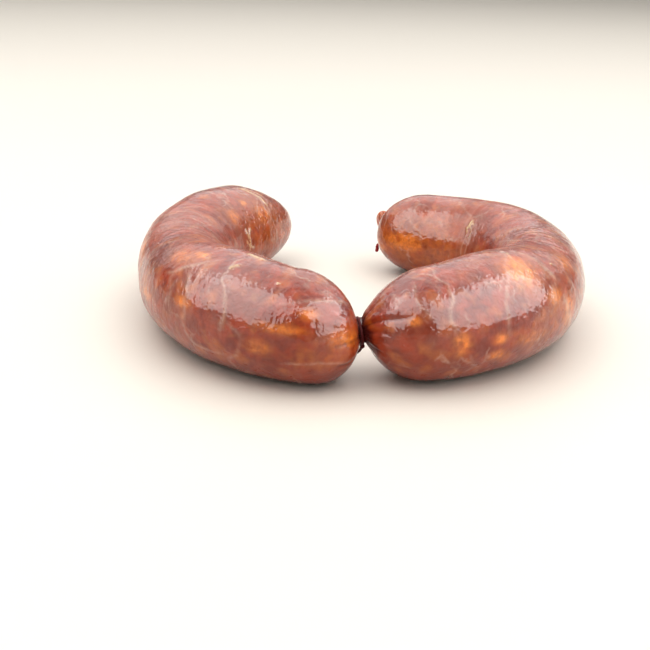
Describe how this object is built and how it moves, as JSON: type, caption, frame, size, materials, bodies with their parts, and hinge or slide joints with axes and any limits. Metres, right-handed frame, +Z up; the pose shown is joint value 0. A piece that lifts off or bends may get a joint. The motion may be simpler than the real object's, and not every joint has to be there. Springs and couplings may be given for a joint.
{
  "type": "string of sausage links",
  "caption": "Plump raw paprika sausage links in natural casing, joined by a tied neck, curled into an open ring and tied with dark red string at both far ends.",
  "frame": {"origin": "middle of the bounding box, on the surface that the links rest on", "axes": "+X to the right along the string as seen from its tied neck, +Y from the neck towards the open gap between the far ends, +Z up"},
  "size_m": [0.1686, 0.1592, 0.0392],
  "materials": {
    "casing": "moist natural sausage casing over coarse paprika meat with orange fat, smooth and glossy",
    "string": "cotton string soaked dark red with paprika fat"
  },
  "bodies": {
    "root": {"links": "casing", "neck_twine": "string", "left_end_twine": "string", "right_end_twine": "string"}
  },
  "joints": []
}
